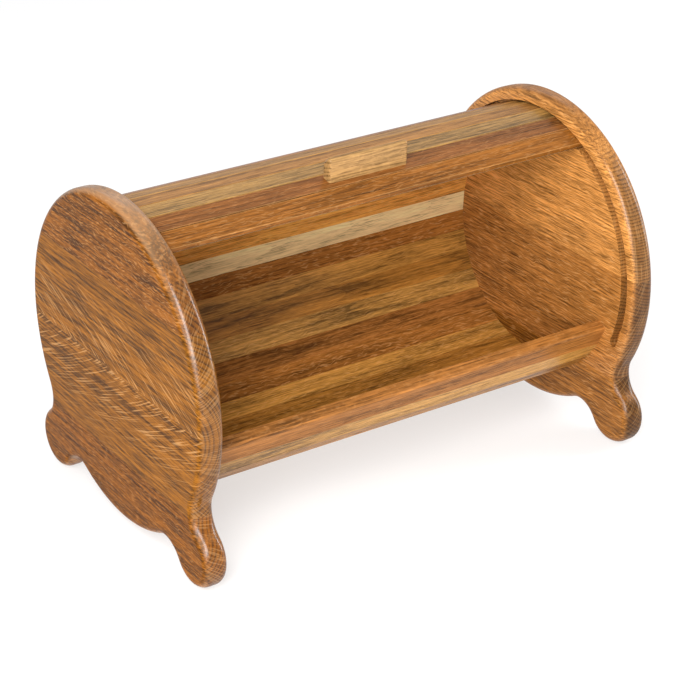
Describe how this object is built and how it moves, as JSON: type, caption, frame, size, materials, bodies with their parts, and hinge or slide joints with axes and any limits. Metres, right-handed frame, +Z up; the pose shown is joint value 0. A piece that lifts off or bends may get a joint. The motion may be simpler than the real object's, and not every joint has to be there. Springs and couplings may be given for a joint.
{
  "type": "bread box",
  "caption": "Oak bread box with two round footed side panels, a fixed stave trough and a roll-top lid that turns in round grooves.",
  "frame": {"origin": "on the ground, midway between the four feet", "axes": "+X along the width, -Y the front, +Z up"},
  "size_m": [0.42, 0.27, 0.2776],
  "materials": {
    "panel_oak": "oiled satin oak",
    "shell_oak": "oiled satin oak",
    "lid_oak": "oiled satin oak",
    "handle_oak": "oiled satin oak",
    "beech_dowel": "raw beech",
    "canvas": "woven cotton",
    "screw_steel": "zinc plated"
  },
  "bodies": {
    "case": {"left_panel_bottom_board": "panel_oak", "left_panel_middle_board": "panel_oak", "left_panel_top_board": "panel_oak", "right_panel_bottom_board": "panel_oak", "right_panel_middle_board": "panel_oak", "right_panel_top_board": "panel_oak", "shell_dowels_left": "beech_dowel", "shell_dowels_right": "beech_dowel", "shell_stave_01": "shell_oak", "shell_stave_02": "shell_oak", "shell_stave_03": "shell_oak", "shell_stave_04": "shell_oak", "shell_stave_05": "shell_oak", "shell_stave_06": "shell_oak", "shell_stave_07": "shell_oak", "shell_stave_08": "shell_oak", "shell_stave_09": "shell_oak", "shell_stave_10": "shell_oak", "shell_stave_11": "shell_oak", "shell_stave_12": "shell_oak", "shell_stave_13": "shell_oak", "shell_stave_14": "shell_oak", "shell_stave_15": "shell_oak", "shell_stave_16": "shell_oak", "shell_stave_17": "shell_oak", "shell_stave_18": "shell_oak", "shell_stave_19": "shell_oak", "shell_stave_20": "shell_oak", "shell_stave_21": "shell_oak"},
    "roll_lid": {"handle_screws": "screw_steel", "lid_canvas": "canvas", "lid_handle": "handle_oak", "lid_slat_01": "lid_oak", "lid_slat_02": "lid_oak", "lid_slat_03": "lid_oak", "lid_slat_04": "lid_oak", "lid_slat_05": "lid_oak", "lid_slat_06": "lid_oak", "lid_slat_07": "lid_oak", "lid_slat_08": "lid_oak", "lid_slat_09": "lid_oak", "lid_slat_10": "lid_oak", "lid_slat_11": "lid_oak", "lid_slat_12": "lid_oak", "lid_slat_13": "lid_oak", "lid_slat_14": "lid_oak", "lid_slat_15": "lid_oak", "lid_slat_16": "lid_oak", "lid_slat_17": "lid_oak", "lid_slat_18": "lid_oak"}
  },
  "joints": [
    {"name": "lid_roll", "type": "hinge", "parent": "case", "child": "roll_lid", "pos_m": [0, 0, 0.139], "axis": [1, 0, 0], "range_deg": [0, 85]}
  ]
}
